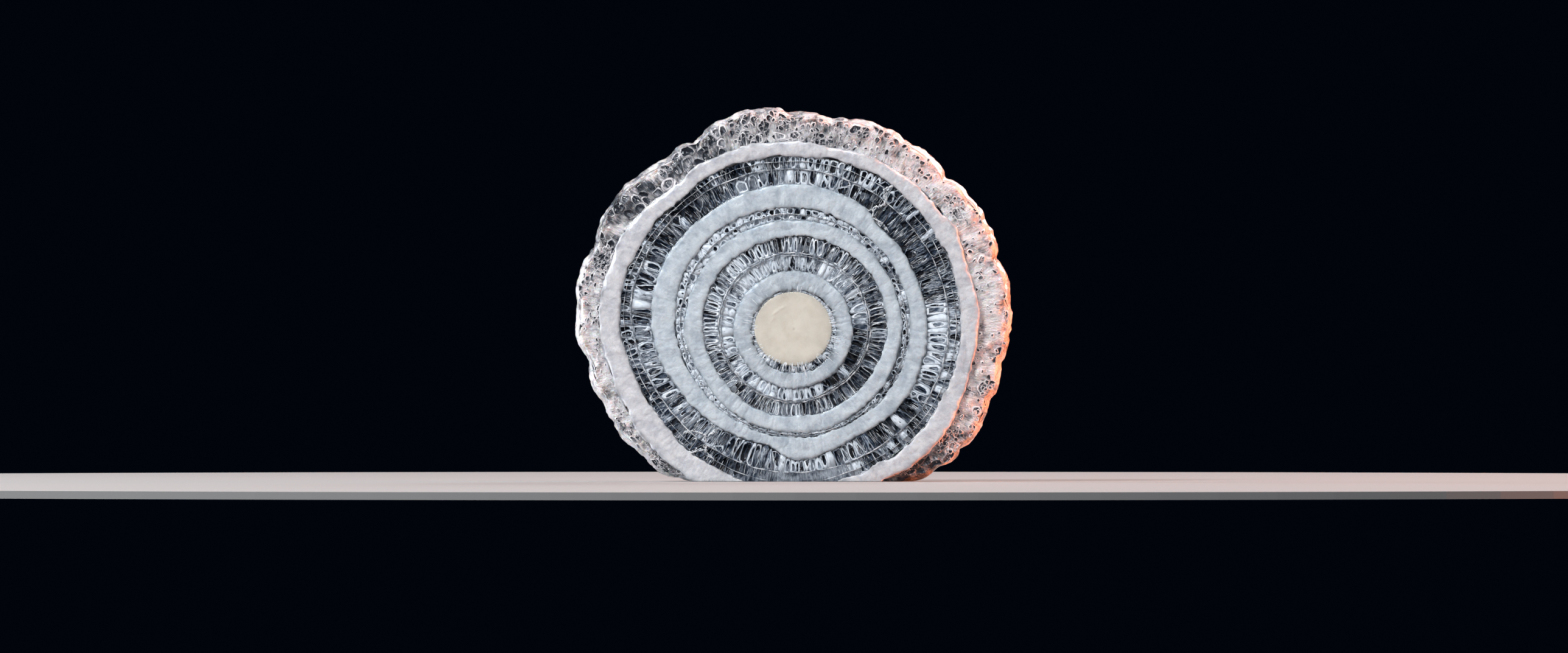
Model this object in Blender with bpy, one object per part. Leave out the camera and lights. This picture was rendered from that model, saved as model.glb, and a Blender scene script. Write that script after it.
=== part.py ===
"""A slice of a large hailstone, cut through its centre of growth, standing on a small flat spot.

Metres, +Z up. The flat spot lies in z = 0 and the origin is at the bottom centre of the slice's box.
The two sawn faces look along -Y and +Y. The stone grew outwards from an embryo, and its outside is a
ring of rounded knobs with a notch between each two.
"""

import math

import bmesh
import bpy
from mathutils import Matrix, Vector, noise

MM = 0.001

# Driving dimensions
SLICE_THICKNESS = 8.0 * MM
CENTRE_HEIGHT = 20.8 * MM  # from the flat spot to the centre of growth

# The outside at mid thickness, round the clock as seen from -Y. Each row is the notch before a knob:
# its hour, its radius from the centre of growth in mm, and how far the knob swells past the chord in mm.
# The rows from 4.85 to 7.05 lie below the flat spot and only carry the curve past the cut.
NOTCHES = (
    (0.35, 29.10, 0.75),
    (1.00, 29.85, 0.60),
    (1.50, 29.35, 0.65),
    (2.00, 30.00, 0.40),
    (2.35, 29.30, 0.70),
    (3.05, 29.20, 0.35),
    (3.30, 28.50, 0.45),
    (3.65, 28.40, 0.50),
    (4.20, 28.15, 0.25),
    (4.45, 27.35, 0.25),
    (4.62, 26.80, 0.25),
    (4.85, 24.95, 0.20),
    (5.20, 23.60, 0.30),
    (6.00, 22.90, 0.30),
    (6.80, 23.30, 0.30),
    (7.05, 24.20, 0.25),
    (7.26, 25.40, 0.90),
    (7.63, 26.50, 0.80),
    (8.28, 27.65, 0.70),
    (8.72, 28.45, 1.35),
    (9.78, 29.40, 0.75),
    (10.42, 29.95, 0.20),
    (10.78, 29.10, 0.35),
    (11.05, 29.25, 0.85),
    (11.95, 29.95, 0.25),
)
KNOB_ROUNDNESS = 0.7  # 1 is a parabola, and less has fuller shoulders

# How the outside falls away from that line across the thickness
CROWN = 0.7 * MM  # at the two sawn edges
LUMP_DEPTH = 1.0 * MM
LUMP_LEVEL = 0.25  # share of the depth that the tops of the lumps stand above the line
LUMP_SIZE = 3.4 * MM

STEPS_AROUND = 240
STEPS_ACROSS = 10
HOURS = 12.0


def outline(hour):
    """Radius in metres of the outside at mid thickness, at an hour of the clock."""
    hour = hour % HOURS
    starts = [row[0] for row in NOTCHES]
    if hour < starts[0]:
        hour += HOURS
    index = max(i for i, start in enumerate(starts) if start <= hour)
    start, radius, swell = NOTCHES[index]
    following = NOTCHES[(index + 1) % len(NOTCHES)]
    end = following[0] + (HOURS if index + 1 == len(NOTCHES) else 0.0)
    share = (hour - start) / (end - start)
    chord = radius + (following[1] - radius) * share
    return (chord + swell * (4.0 * share * (1.0 - share)) ** KNOB_ROUNDNESS) * MM


def fall(point):
    """How far below the outline the outside lies at a point, from the crown and from lumps."""
    crown = CROWN * (2.0 * point.y / SLICE_THICKNESS) ** 2
    nearest = noise.voronoi(point / LUMP_SIZE)[0][0]
    return crown + LUMP_DEPTH * (nearest**2 - LUMP_LEVEL)


def slice_mesh():
    """A closed bmesh of the slice, with its centre of growth at x = 0, z = CENTRE_HEIGHT."""
    made = bmesh.new()
    facing = Matrix.Rotation(math.radians(90.0), 4, "X")
    bmesh.ops.create_cone(
        made,
        cap_ends=True,
        segments=STEPS_AROUND,
        radius1=outline(0.0),
        radius2=outline(0.0),
        depth=SLICE_THICKNESS,
        matrix=facing,
    )
    across = [e for e in made.edges if abs(e.verts[0].co.y - e.verts[1].co.y) > SLICE_THICKNESS / 2]
    bmesh.ops.subdivide_edges(made, edges=across, cuts=STEPS_ACROSS - 1, use_grid_fill=False)
    for vert in made.verts:
        angle = math.atan2(vert.co.x, vert.co.z)
        direction = Vector((math.sin(angle), 0.0, math.cos(angle)))
        on_line = direction * outline(angle / math.tau * HOURS)
        radius = on_line.length - fall(on_line + Vector((0.0, vert.co.y, 0.0)))
        vert.co = direction * radius + Vector((0.0, vert.co.y, CENTRE_HEIGHT))
    return made


def cut_flat_spot(made):
    """Cuts the slice flat at z = 0 and closes the cut."""
    everything = made.verts[:] + made.edges[:] + made.faces[:]
    bmesh.ops.bisect_plane(
        made,
        geom=everything,
        plane_co=(0.0, 0.0, 0.0),
        plane_no=(0.0, 0.0, -1.0),
        clear_outer=True,
    )
    bmesh.ops.holes_fill(made, edges=[e for e in made.edges if e.is_boundary], sides=0)
    bmesh.ops.recalc_face_normals(made, faces=made.faces)


def centre_on_box(made):
    """Moves the slice along X so that its box is centred on the origin."""
    places = [v.co.x for v in made.verts]
    middle = (min(places) + max(places)) / 2.0
    bmesh.ops.translate(made, verts=made.verts, vec=(-middle, 0.0, 0.0))


def clear_ice():
    """Clear, slightly blue ice."""
    material = bpy.data.materials.new("clear_ice")
    material.use_nodes = True
    shader = material.node_tree.nodes["Principled BSDF"]
    shader.inputs["Base Color"].default_value = (0.84, 0.89, 0.93, 1.0)
    shader.inputs["Metallic"].default_value = 0.0
    shader.inputs["Roughness"].default_value = 0.12
    shader.inputs["IOR"].default_value = 1.31
    shader.inputs["Transmission Weight"].default_value = 0.8
    return material


def clear_scene():
    """Removes every object that is in the scene."""
    for obj in list(bpy.data.objects):
        bpy.data.objects.remove(obj, do_unlink=True)


def main():
    clear_scene()
    collection = bpy.data.collections.new("hailstone_slice")
    bpy.context.scene.collection.children.link(collection)
    made = slice_mesh()
    cut_flat_spot(made)
    centre_on_box(made)
    mesh = bpy.data.meshes.new("hailstone")
    made.to_mesh(mesh)
    made.free()
    mesh.materials.append(clear_ice())
    mesh.shade_smooth()
    mesh.set_sharp_from_angle(angle=math.radians(50.0))
    collection.objects.link(bpy.data.objects.new("hailstone", mesh))


main()
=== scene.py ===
"""Looks for a sawn slice of a hailstone: clear and milky ice in rings round a cream embryo.

Everything inside the slice is laid out in growth coordinates: the turn round the clock as seen from the
front, clockwise from the top, the radius that a layer has at the sawn faces, and the depth along Y. The
layers are shells, so a layer bulges outwards between the two faces.
"""

import logging
import math
from contextlib import contextmanager
from dataclasses import dataclass, field
from enum import Enum
from functools import partial
from typing import Callable, Iterator

import bpy
import numpy as np
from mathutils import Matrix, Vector
from mathutils.bvhtree import BVHTree
from mathutils.kdtree import KDTree


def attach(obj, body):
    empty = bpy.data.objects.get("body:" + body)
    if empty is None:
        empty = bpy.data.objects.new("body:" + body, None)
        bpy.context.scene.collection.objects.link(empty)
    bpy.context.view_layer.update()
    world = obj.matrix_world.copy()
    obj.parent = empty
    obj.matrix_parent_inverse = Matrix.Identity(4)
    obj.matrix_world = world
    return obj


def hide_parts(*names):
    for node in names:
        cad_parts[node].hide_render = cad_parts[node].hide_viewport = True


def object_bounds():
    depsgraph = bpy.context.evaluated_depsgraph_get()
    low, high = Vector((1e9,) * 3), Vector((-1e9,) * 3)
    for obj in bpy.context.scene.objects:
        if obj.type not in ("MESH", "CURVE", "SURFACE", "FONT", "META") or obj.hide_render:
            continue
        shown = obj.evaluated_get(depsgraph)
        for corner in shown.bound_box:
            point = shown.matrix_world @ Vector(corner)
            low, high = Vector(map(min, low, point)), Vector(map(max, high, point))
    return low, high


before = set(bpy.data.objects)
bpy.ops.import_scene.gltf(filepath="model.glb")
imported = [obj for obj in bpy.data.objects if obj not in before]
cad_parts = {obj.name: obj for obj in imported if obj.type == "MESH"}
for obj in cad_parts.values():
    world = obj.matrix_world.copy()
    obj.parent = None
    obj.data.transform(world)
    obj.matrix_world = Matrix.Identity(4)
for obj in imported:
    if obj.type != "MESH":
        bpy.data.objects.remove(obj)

CAD_LOW, CAD_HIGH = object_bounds()
NODE = "hailstone"
BODY = "root"
LOG = logging.getLogger("hailstone")

MM = 0.001
TAU = math.tau
CLOCK = 12.0
HALF = (CAD_HIGH.y - CAD_LOW.y) / 2 / MM  # half the slice's thickness, in mm
CENTRE_SHARE = 0.4068  # height of the growth centre, as a share of the slice's height
CENTRE = Vector((0.0, 0.0, CAD_LOW.z + CENTRE_SHARE * (CAD_HIGH.z - CAD_LOW.z)))
BULGE = 0.3  # how far a layer bulges between the faces, as a share of a ball's bulge
PROUD = 0.1  # mm that anything may stand out of a sawn face
FLOOR_GAP = 0.02  # mm between the ice's flat spot and what is cut off just above it
SAME = 1e-7  # metres within which two points are one
ON_FACE = 0.999  # share of the half thickness past which a section's point lies on a sawn face
OUTSIDE = 9.0  # what stands for a distance in mm where there is no wall to measure to
ICE_IOR = 1.31

Points = np.ndarray
Colour = tuple[float, float, float]
Piece, Mesh, Material = bpy.types.Object, bpy.types.Mesh, bpy.types.Material
Tree, Socket, Sockets = bpy.types.NodeTree, bpy.types.NodeSocket, bpy.types.NodeOutputs
# White of frost, and of the painted highlights on the crystals' lips.
FROST_AND_HIGHLIGHT_WHITE: Colour = (0.9, 0.93, 0.97)


class Side(Enum):
    """The two sawn faces, and which way along Y each lies."""

    FRONT = -1
    BACK = 1


class Slot(Enum):
    """The record's material slots."""

    CLEAR = "clear_ice"
    MILKY = "milky_ice"
    EMBRYO = "embryo_ice"


# ---------------------------------------------------------------- growth coordinates


def hashed(corner: Points, seed: int) -> Points:
    """A repeatable number from -1 to 1 for each lattice corner.

    Args:
        corner: Whole numbers, one row for each point.
        seed: Which set of numbers to draw from.

    Returns:
        One number for each row.
    """
    mixed = np.full(len(corner), seed * 7919 + 17, dtype=np.uint64)
    for column, prime in zip(corner.T, (73856093, 19349663, 83492791)):
        mixed ^= column.astype(np.int64).astype(np.uint64) * np.uint64(prime)
        mixed = (mixed ^ (mixed >> np.uint64(13))) * np.uint64(0x9E3779B97F4A7C15)
        mixed ^= mixed >> np.uint64(29)
    return (mixed >> np.uint64(11)).astype(np.float64) / 2.0**52 - 1.0


def smooth_noise(at: Points, seed: int, wrap: int = 0) -> Points:
    """Smooth noise from about -1 to 1.

    Args:
        at: Places in units of the noise's own grain, one row for each point.
        seed: Which noise.
        wrap: Where not 0, the grains after which the first column repeats.

    Returns:
        One value for each row.
    """
    low = np.floor(at)
    share = at - low
    share = share * share * (3.0 - 2.0 * share)
    total = np.zeros(len(at))
    for bits in range(2 ** at.shape[1]):
        step = np.array([(bits >> k) & 1 for k in range(at.shape[1])])
        corner = low + step
        if wrap:
            corner[:, 0] %= wrap
        weight = np.prod(np.where(step, share, 1.0 - share), axis=1)
        total += weight * hashed(corner, seed)
    return total


@dataclass(frozen=True)
class Course:
    """A value that changes round the clock, such as the radius of a boundary in mm.

    Attributes:
        readings: The hour and the value at each place that the shape needs.
        ease: Hours over which a corner between two readings is rounded.
    """

    readings: tuple[tuple[float, float], ...]
    ease: float = 0.16

    def at(self, turn: Points) -> Points:
        """The value at each turn, which is in radians clockwise from the top."""
        hours, values = zip(*self.readings)
        fine = np.arange(0.0, CLOCK, 0.02)
        line = np.interp(fine, hours, values, period=CLOCK)
        waves = np.fft.rfftfreq(len(fine), 0.02)
        eased = np.fft.irfft(np.fft.rfft(line) * np.exp(-2.0 * (math.pi * self.ease * waves) ** 2), len(fine))
        return np.interp(np.asarray(turn) / TAU * CLOCK, fine, eased, period=CLOCK)


@dataclass(frozen=True)
class Between:
    """A course that runs at a set share of the way from one course to another."""

    inner: Course
    outer: Course
    share: float

    def at(self, turn: Points) -> Points:
        """The value at each turn."""
        inner = self.inner.at(turn)
        return inner + (self.outer.at(turn) - inner) * self.share


def bulged(radius: Points, depth: Points) -> Points:
    """Radius in mm at a depth, of the shell that meets the sawn faces at a radius."""
    ball = np.sqrt(np.maximum(radius**2 + HALF**2 - depth**2, 0.0))
    return radius + BULGE * (ball - radius)


def placed(turn: Points, radius: Points, depth: Points) -> Points:
    """Growth coordinates as points of the frame.

    Args:
        turn: Radians clockwise from the top.
        radius: True radius in mm.
        depth: Millimetres along Y from mid thickness.

    Returns:
        Points in metres, one row each.
    """
    x = CENTRE.x + radius * np.sin(turn) * MM
    z = CENTRE.z + radius * np.cos(turn) * MM
    return np.stack([x, CENTRE.y + depth * MM, z], axis=-1)


def grown(points: Points) -> tuple[Points, Points, Points]:
    """Points of the frame, in metres, as turn, true radius and depth."""
    x, y, z = ((points - np.array(CENTRE)) / MM).T
    return np.arctan2(x, z) % TAU, np.hypot(x, z), y


def noise_place(turn: Points, radius: Points, *more: Points | float) -> Points:
    """Places across the slice in mm, one row each, with more columns after the first two."""
    return np.stack(np.broadcast_arrays(radius * np.sin(turn), radius * np.cos(turn), *more), axis=-1)


def round_place(turn: Points, count: int, *more: Points | float) -> Points:
    """Places along a ring in grains that repeat after a count of them, with more columns after the first."""
    return np.stack(np.broadcast_arrays(turn / TAU * count, *more), axis=-1)


def layered(at: Points, seed: int, *layers: tuple[float, float]) -> Points:
    """Noises laid over each other, each given by its height and the size of its grain."""
    return sum(high * smooth_noise(at / grain, seed + k) for k, (high, grain) in enumerate(layers))


def warped(turn: Points, radius: Points) -> Points:
    """Radians by which the crystals lean at a place, so that no wall is quite straight."""
    lean = layered(noise_place(turn, radius).reshape(-1, 2), 11, (0.16, 1.7), (0.07, 0.6))
    return lean.reshape(np.shape(turn)) / np.maximum(radius, 1.0)


# The boundaries, from the embryo outwards: radii in mm at the sawn faces
EMBRYO_EDGE = Course((
    (0, 5.0), (2, 5.05), (3, 5.1), (5, 4.95), (6, 4.9), (7, 5.0), (8, 5.2), (9, 5.35), (10, 5.3), (11, 5.1),
))
MILK_1_IN = Course((
    (0, 5.35), (1.5, 5.4), (2.5, 5.7), (4, 6.0), (5, 6.0), (6, 5.85), (7, 5.9), (8, 5.8), (9, 5.8), (10, 5.65),
    (11, 5.4),
))
MILK_1_OUT = Course(((0, 7.9), (3, 7.95), (6, 7.95), (8, 8.0), (9, 8.2), (10, 8.1), (11, 7.95)))
THREAD_A = Course((
    (0, 10.4), (2, 10.4), (3, 10.4), (4, 10.2), (5, 9.8), (6, 10.0), (7, 9.95), (8, 10.1), (9, 10.3), (10, 10.5),
    (11, 10.5),
))
MILK_2_IN = Course((
    (0, 12.7), (1, 12.7), (2, 12.8), (3, 12.8), (4, 12.3), (5, 12.0), (8, 12.0), (9, 12.6), (10, 12.7), (11, 12.6),
))
MILK_2_OUT = Course((
    (0, 14.9), (1, 14.9), (2, 14.7), (3, 14.8), (4, 14.4), (5, 14.2), (6, 14.0), (7, 14.1), (8, 14.0), (9, 15.0),
    (10, 14.8), (11, 14.9),
))
MILK_3_IN = Course((
    (0, 16.6), (1, 16.1), (2, 16.1), (3, 15.9), (4, 15.6), (5, 15.0), (6, 14.7), (7, 14.8), (8, 15.1), (9, 16.1),
    (10, 17.0), (11, 17.0),
))
MILK_3_OUT = Course((
    (0, 19.8), (1.05, 19.2), (1.3, 18.1), (2, 18.1), (3, 18.2), (4, 17.9), (4.5, 17.4), (5, 16.9), (5.5, 17.4),
    (6, 18.0), (6.4, 16.2), (7, 16.6), (8, 17.6), (8.5, 18.7), (9, 19.4), (10, 20.0), (10.7, 19.6), (11, 19.7),
), 0.08)
THREAD_C = Course((
    (0, 21.9), (1, 21.5), (2, 21.2), (3, 21.1), (4, 20.5), (5, 19.6), (7, 19.6), (8, 20.2), (9, 22.0), (9.3, 22.7),
    (10, 22.6), (11, 22.2),
))
MILK_4_IN = Course((
    (0, 23.6), (1, 23.8), (2, 23.2), (3, 22.8), (4, 22.3), (5, 21.7), (7, 21.8), (8, 22.0), (8.5, 22.7), (9, 23.8),
    (9.3, 24.2), (10, 24.0), (10.7, 23.4), (11, 24.0),
), 0.1)
MILK_4_OUT = Course((
    (0, 25.7), (0.3, 25.2), (1, 25.8), (2, 25.8), (2.3, 25.2), (3, 25.3), (3.4, 24.4), (4, 25.0), (4.5, 24.6),
    (5, 24.0), (6.8, 24.8), (7.5, 25.1), (8, 25.3), (8.5, 25.6), (9, 26.6), (10, 26.6), (10.8, 25.1), (11, 26.0),
    (11.3, 25.6),
), 0.1)
MILK_1, MILK_2 = (MILK_1_IN, MILK_1_OUT), (MILK_2_IN, MILK_2_OUT)
MILK_3, MILK_4 = (MILK_3_IN, MILK_3_OUT), (MILK_4_IN, MILK_4_OUT)
BANDS = ((EMBRYO_EDGE, MILK_1_IN), (MILK_1_OUT, MILK_2_IN), (MILK_2_OUT, MILK_3_IN), (MILK_3_OUT, MILK_4_IN))

# How hazy the crystals are, from the embryo outwards: from 0 for clear to 1
HAZE_GAP = Course((
    (0, 1.0), (1.5, 0.95), (2.5, 0.7), (4, 0.5), (6, 0.45), (7.5, 0.6), (8.5, 0.7), (10, 0.75), (11.2, 0.95),
))
HAZE_A_INNER = Course((
    (0, 0.65), (1, 0.65), (2, 0.5), (3, 0.3), (4, 0.1), (5, 0.2), (6, 0.6), (8, 0.7), (10, 0.8), (11, 0.75),
))
HAZE_A_OUTER = Course((
    (0, 0.35), (1, 0.2), (2, 0.12), (4, 0.2), (6, 0.35), (7.5, 0.25), (9, 0.4), (10.5, 0.6), (11.3, 0.5),
))
HAZE_B = Course(((0, 0.75), (1, 0.7), (2, 0.5), (4, 0.6), (5, 0.8), (6, 0.95), (7.5, 0.8), (9, 0.85), (10.5, 0.9)))
HAZE_C_INNER = Course((
    (0, 0.6), (0.7, 0.4), (1.1, 0.1), (1.5, 0.0), (2.4, 0.1), (2.9, 0.65), (3.5, 0.6), (4, 0.4), (4.6, 0.15),
    (5.4, 0.7), (6, 0.6), (6.6, 0.3), (7.4, 0.35), (8, 0.3), (8.6, 0.48), (9.4, 0.5), (9.9, 0.32), (10.8, 0.15),
    (11.4, 0.5),
))
HAZE_C_OUTER = Course((
    (0, 0.65), (1, 0.55), (1.5, 0.1), (2.4, 0.4), (2.9, 0.7), (3.5, 0.6), (4, 0.3), (5.4, 0.5), (6.6, 0.12),
    (8, 0.2), (8.6, 0.45), (9.4, 0.45), (9.9, 0.3), (10.8, 0.15), (11.4, 0.35),
))
HAZE_RIM = Course((
    (0, 0.6), (1, 0.8), (2, 0.9), (3, 0.9), (4, 0.7), (4.6, 0.2), (5.3, 0.1), (7, 0.4), (7.6, 0.65), (8.4, 0.95),
    (9, 0.95), (9.7, 0.5), (10.3, 0.3), (11, 0.35), (11.5, 0.5),
))

# Where there are more of some things: the first three are 1 where there are any and 0 elsewhere
CRESCENT = Course(((11.2, 0), (11.5, 1), (0.6, 1), (0.9, 0)), 0.02)
SPECKS = Course(((3.2, 0), (3.5, 1), (5.0, 1), (5.3, 0)), 0.02)
PITTED = Course(((0, 1), (4.2, 1), (4.5, 0), (7.2, 0), (7.5, 1), (9.7, 1), (9.9, 0), (11.3, 0), (11.5, 1)), 0.05)
SPOKED = Course(((0, 0.1), (1.5, 0.15), (2.5, 0.6), (4, 1.0), (7, 1.0), (8.5, 0.7), (9.5, 0.4), (11, 0.15)))
BRUSHED = Course((
    (0, 0.5), (1.2, 0.2), (1.7, 1), (2.6, 1), (3, 0.4), (4, 0.5), (5, 0.5), (6.5, 0.2), (7.3, 0.9), (8, 0.9),
    (8.6, 0.2), (9.6, 0.3), (11, 0.5),
))
BUBBLED = Course(((0, 0.3), (1.5, 0.1), (4, 0.4), (5, 0.3), (6.4, 0.9), (7.2, 1.0), (8, 0.7), (9, 0.3), (11, 0.3)))

# The healed cracks: the hour and the radius in mm of each corner
CRACKS = (
    ((1.17, 18.4), (1.12, 20.0), (1.2, 21.2), (1.1, 22.6), (1.16, 24.0)),
    ((1.17, 18.6), (1.32, 18.8), (1.45, 18.5)),
    ((7.25, 17.2), (7.32, 18.8), (7.22, 20.4), (7.34, 22.0)),
    ((7.32, 18.8), (7.5, 19.6), (7.55, 20.8)),
    ((7.22, 20.4), (7.05, 21.0)),
)


# ---------------------------------------------------------------- modelling helpers


def deselect() -> None:
    """Leaves nothing selected, so that an operator acts on the new piece alone."""
    bpy.ops.object.select_all(action="DESELECT")


@contextmanager
def editing(piece: Piece) -> Iterator[Mesh]:
    """Edit mode on one piece, with all of it selected at the start."""
    deselect()
    piece.select_set(True)
    bpy.context.view_layer.objects.active = piece
    bpy.ops.object.mode_set(mode="EDIT")
    bpy.ops.mesh.select_all(action="SELECT")
    yield piece.data
    bpy.ops.object.mode_set(mode="OBJECT")


def mesh_points(mesh: Mesh) -> Points:
    """The vertices of a mesh, one row each."""
    points = np.empty(len(mesh.vertices) * 3)
    mesh.vertices.foreach_get("co", points)
    return points.reshape(-1, 3)


def set_points(mesh: Mesh, points: Points) -> None:
    """Moves the vertices of a mesh."""
    mesh.vertices.foreach_set("co", np.ascontiguousarray(points, dtype=np.float32).ravel())
    mesh.update()


def with_attribute(mesh: Mesh, name: str, values: Points) -> None:
    """Stores one number for each vertex, for the finish to read."""
    made = mesh.attributes.new(name, "FLOAT", "POINT")
    made.data.foreach_set("value", np.ascontiguousarray(values, dtype=np.float32))


def cut_flat(piece: Piece) -> None:
    """Cuts a closed piece level with the flat spot and closes the cut."""
    if mesh_points(piece.data)[:, 2].min() > CAD_LOW.z:
        return
    with editing(piece):
        bpy.ops.mesh.bisect(
            plane_co=(0.0, 0.0, CAD_LOW.z + FLOOR_GAP * MM),
            plane_no=(0.0, 0.0, 1.0),
            use_fill=True,
            clear_inner=True,
            threshold=SAME,
        )


def turn_outwards(piece: Piece) -> None:
    """Points every face outwards, on a closed piece."""
    with editing(piece):
        bpy.ops.mesh.normals_make_consistent(inside=False)


def handed_over(piece: Piece, name: str, material: Material) -> Piece:
    """Names, dresses and mounts a finished piece.

    Args:
        piece: An object at the origin with its place in its mesh.
        name: The name that the piece goes by.
        material: Its finish.

    Returns:
        The same piece.
    """
    piece.name = piece.data.name = name
    piece.data.materials.clear()
    piece.data.materials.append(material)
    piece.data.polygons.foreach_set("material_index", np.zeros(len(piece.data.polygons), dtype=np.int32))
    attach(piece, BODY)
    piece.data.calc_loop_triangles()
    LOG.info("%s: %d triangles", name, len(piece.data.loop_triangles))
    return piece


def section(face_steps: int, wall_steps: int) -> tuple[Points, Points]:
    """The section of a ring as a closed loop: both faces and the two walls between them.

    Args:
        face_steps: Points across each face, packed closer at its edges.
        wall_steps: Points down each wall, between the faces.

    Returns:
        The share of the way from the inner wall to the outer one, and the share of the half thickness.
    """
    out = (1.0 - np.cos(np.linspace(0.0, math.pi, face_steps))) / 2.0
    down = np.linspace(-1.0, 1.0, wall_steps + 2)[1:-1]
    share = np.concatenate([out, np.ones(wall_steps), out[::-1], np.zeros(wall_steps)])
    side = np.concatenate([-np.ones(face_steps), down, np.ones(face_steps), -down])
    return share, side


def ring(steps: int, share: Points, side: Points, shape: Callable[[Points, Points, Points], Points]) -> Piece:
    """A closed ring round the growth centre, rolled up from a flat grid.

    Args:
        steps: Segments round the clock.
        share: For each point of the section, the share of the way outwards.
        side: For each point of the section, the share of the half thickness.
        shape: Gives the points for turns, shares and sides.

    Returns:
        The new object, at the origin.
    """
    deselect()
    size = len(share)
    bpy.ops.mesh.primitive_grid_add(x_subdivisions=size, y_subdivisions=steps, size=0.01, calc_uvs=False)
    made = bpy.context.object
    turn = np.repeat(np.arange(steps) * TAU / steps, size)
    points = shape(turn, np.tile(share, steps), np.tile(side, steps)).reshape(steps, size, 3)
    points = np.concatenate([points, points[:1]], axis=0)
    points = np.concatenate([points, points[:, :1]], axis=1)
    set_points(made.data, points.reshape(-1, 3))
    with editing(made):
        bpy.ops.mesh.remove_doubles(threshold=SAME)
        bpy.ops.mesh.normals_make_consistent(inside=False)
    made.data.shade_smooth()
    return made


# ---------------------------------------------------------------- finishes


def feed(tree: Tree, made: bpy.types.Node, **values: object) -> None:
    """Sets a node's inputs or links them.

    Args:
        tree: Where the node stands.
        made: The node.
        **values: An input's value or the socket that feeds it. The input goes by its name, with _ for a space,
            or by i and its number.
    """
    for name, value in values.items():
        numbered = name[0] == "i" and name[1:].isdigit()
        socket = made.inputs[int(name[1:]) if numbered else name.replace("_", " ")]
        if isinstance(value, bpy.types.NodeSocket):
            tree.links.new(value, socket)
        else:
            socket.default_value = value


def node(tree: Tree, kind: str, **values: object) -> bpy.types.Node:
    """Adds a node, sets its own properties and feeds its inputs.

    Args:
        tree: Where the node goes.
        kind: Its type.
        **values: The node's own properties and, under the names that feed takes, its inputs.

    Returns:
        The new node.
    """
    made = tree.nodes.new(kind)
    own = {name: value for name, value in values.items() if name in made.bl_rna.properties}
    for name, value in own.items():
        setattr(made, name, value)
    feed(tree, made, **{name: value for name, value in values.items() if name not in own})
    return made


def worked_out(tree: Tree, operation: str, *values: object) -> Socket:
    """The result of a Math node that is fed the values or sockets given."""
    return node(tree, "ShaderNodeMath", operation=operation, **{f"i{k}": v for k, v in enumerate(values)}).outputs[0]


def attribute(tree: Tree, name: str) -> Socket:
    """The number that a piece's vertices carry under a name."""
    return node(tree, "ShaderNodeAttribute", attribute_name=name).outputs["Fac"]


def bumped(tree: Tree, height: Socket, relief: float, strength: float) -> Socket:
    """The normal of a relief, whose height is in mm."""
    return node(tree, "ShaderNodeBump", Strength=strength, Distance=relief * MM, Height=height).outputs[0]


def ramp(tree: Tree, value: Socket, *stops: tuple[float, Colour]) -> Socket:
    """A colour for each value, through the stops given."""
    made = node(tree, "ShaderNodeValToRGB", Fac=value)
    while len(made.color_ramp.elements) < len(stops):
        made.color_ramp.elements.new(0.5)
    for element, (place, colour) in zip(made.color_ramp.elements, stops):
        element.position = place
        element.color = (*colour, 1.0)
    return made.outputs["Color"]


def ranged(tree: Tree, value: Socket, low: float, high: float) -> Socket:
    """A value's share of the way from low to high, from 0 to 1."""
    return node(tree, "ShaderNodeMapRange", Value=value, From_Min=low, From_Max=high).outputs[0]


def blended(tree: Tree, share: Socket, colour: Socket, other: Colour) -> Socket:
    """A colour that gives way to another one by a share."""
    return node(tree, "ShaderNodeMix", data_type="RGBA", i0=share, i6=colour, i7=(*other, 1.0)).outputs[2]


def new_material(name: str, **values: object) -> tuple[Material, Tree, bpy.types.Node]:
    """A material with its tree and its Principled shader, whose sockets hold the values given."""
    made = bpy.data.materials.new(name)
    made.use_nodes = True
    shader = made.node_tree.nodes["Principled BSDF"]
    feed(made.node_tree, shader, **values)
    return made, made.node_tree, shader


def frozen_grain() -> Tree:
    """Builds the group that gives ice its mottling and its radial streaks.

    It takes a place in mm from the growth centre and gives a mottle and a streak value from 0 to 1.
    """
    group = bpy.data.node_groups.new("frozen_grain", "ShaderNodeTree")
    group.interface.new_socket(name="Place", in_out="INPUT", socket_type="NodeSocketVector")
    for name, start in (("Mottle Size", 1.5), ("Streaks Round", 60.0)):
        group.interface.new_socket(name=name, in_out="INPUT", socket_type="NodeSocketFloat").default_value = start
    for name in ("Mottle", "Streaks"):
        group.interface.new_socket(name=name, in_out="OUTPUT", socket_type="NodeSocketFloat")
    given = group.nodes.new("NodeGroupInput").outputs
    result = group.nodes.new("NodeGroupOutput")
    scale = worked_out(group, "DIVIDE", 1.0, given["Mottle Size"])
    clouds = node(group, "ShaderNodeTexNoise", Vector=given["Place"], Scale=scale, Detail=4.0, Roughness=0.6)
    apart = node(group, "ShaderNodeSeparateXYZ", Vector=given["Place"]).outputs
    turn = worked_out(group, "ARCTAN2", apart["X"], apart["Z"])
    level = node(group, "ShaderNodeVectorMath", operation="MULTIPLY", i0=given["Place"], i1=(1.0, 0.0, 1.0))
    out = node(group, "ShaderNodeVectorMath", operation="LENGTH", i0=level.outputs[0])
    polar = node(
        group,
        "ShaderNodeCombineXYZ",
        X=worked_out(group, "MULTIPLY", turn, given["Streaks Round"]),
        Y=worked_out(group, "MULTIPLY", out.outputs["Value"], 1.1),
        Z=worked_out(group, "MULTIPLY", apart["Y"], 2.2),
    )
    combed = node(group, "ShaderNodeTexNoise", Vector=polar.outputs[0], Scale=1.0, Detail=3.0, Roughness=0.55)
    feed(group, result, Mottle=clouds.outputs["Fac"], Streaks=combed.outputs["Fac"])
    return group


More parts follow.
